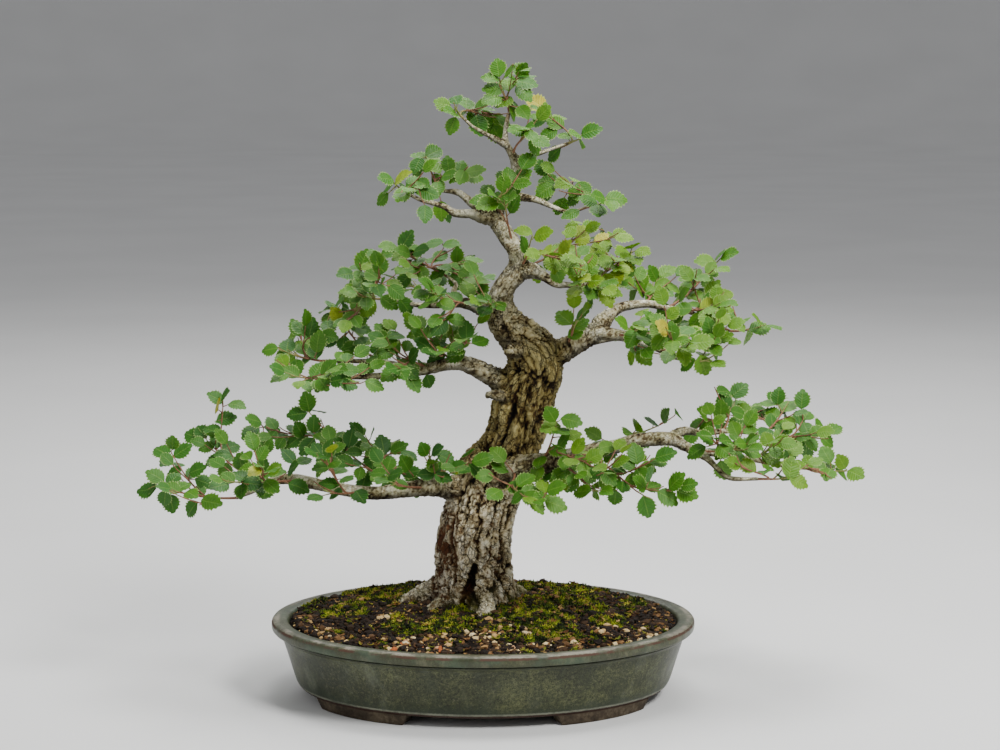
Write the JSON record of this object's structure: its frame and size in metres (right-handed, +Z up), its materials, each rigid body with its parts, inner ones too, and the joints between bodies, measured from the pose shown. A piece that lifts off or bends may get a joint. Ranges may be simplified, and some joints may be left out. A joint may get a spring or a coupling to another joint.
{
  "type": "winged elm bonsai",
  "caption": "Upright elm bonsai with a thick curved trunk, layered branches and toothed leaves, in mounded grit in a shallow oval glazed pot on curved feet.",
  "frame": {"origin": "middle of the whole's bounding box, on the ground under the feet", "axes": "+X along the pot's length, to the right in the picture; +Y away from the viewer; +Z up"},
  "size_m": [0.685, 0.3256, 0.5992],
  "materials": {
    "glaze": "grey-green mottled glaze, satin, worn to bare clay on the rim's edge and bare on the feet",
    "grit": "dark soil under tan and cream grit, with moss",
    "bark": "rough grey-tan bark with dark furrows",
    "leaf": "mid green, faintly waxy",
    "screen": "plain dark mesh"
  },
  "bodies": {
    "root": {"drain_screen_left": "screen", "drain_screen_right": "screen", "grit_and_soil": "grit", "pot": "glaze", "spray_back_high_1": "leaf", "spray_back_low_1": "leaf", "spray_back_low_2": "leaf", "spray_back_mid_1": "leaf", "spray_crown_1": "leaf", "spray_crown_2": "leaf", "spray_crown_left_1": "leaf", "spray_crown_right_1": "leaf", "spray_high_left_1": "leaf", "spray_high_left_2": "leaf", "spray_high_left_3": "leaf", "spray_high_left_4": "leaf", "spray_high_right_1": "leaf", "spray_high_right_2": "leaf", "spray_high_right_3": "leaf", "spray_high_right_4": "leaf", "spray_low_left_1": "leaf", "spray_low_left_2": "leaf", "spray_low_left_3": "leaf", "spray_low_left_4": "leaf", "spray_low_left_5": "leaf", "spray_low_left_6": "leaf", "spray_low_left_7": "leaf", "spray_low_left_8": "leaf", "spray_low_right_1": "leaf", "spray_low_right_10": "leaf", "spray_low_right_11": "leaf", "spray_low_right_12": "leaf", "spray_low_right_2": "leaf", "spray_low_right_3": "leaf", "spray_low_right_4": "leaf", "spray_low_right_5": "leaf", "spray_low_right_6": "leaf", "spray_low_right_7": "leaf", "spray_low_right_8": "leaf", "spray_low_right_9": "leaf", "spray_mid_left_1": "leaf", "spray_mid_left_2": "leaf", "spray_mid_left_3": "leaf", "spray_mid_left_4": "leaf", "spray_mid_left_5": "leaf", "spray_mid_left_6": "leaf", "spray_mid_right_1": "leaf", "spray_mid_right_2": "leaf", "spray_mid_right_3": "leaf", "spray_mid_right_4": "leaf", "spray_mid_right_5": "leaf", "spray_mid_right_6": "leaf", "spray_mid_right_7": "leaf", "spray_mid_right_8": "leaf", "spray_top_left_1": "leaf", "spray_top_left_2": "leaf", "spray_top_left_3": "leaf", "spray_top_right_1": "leaf", "trunk_and_limbs": "bark"}
  },
  "joints": []
}
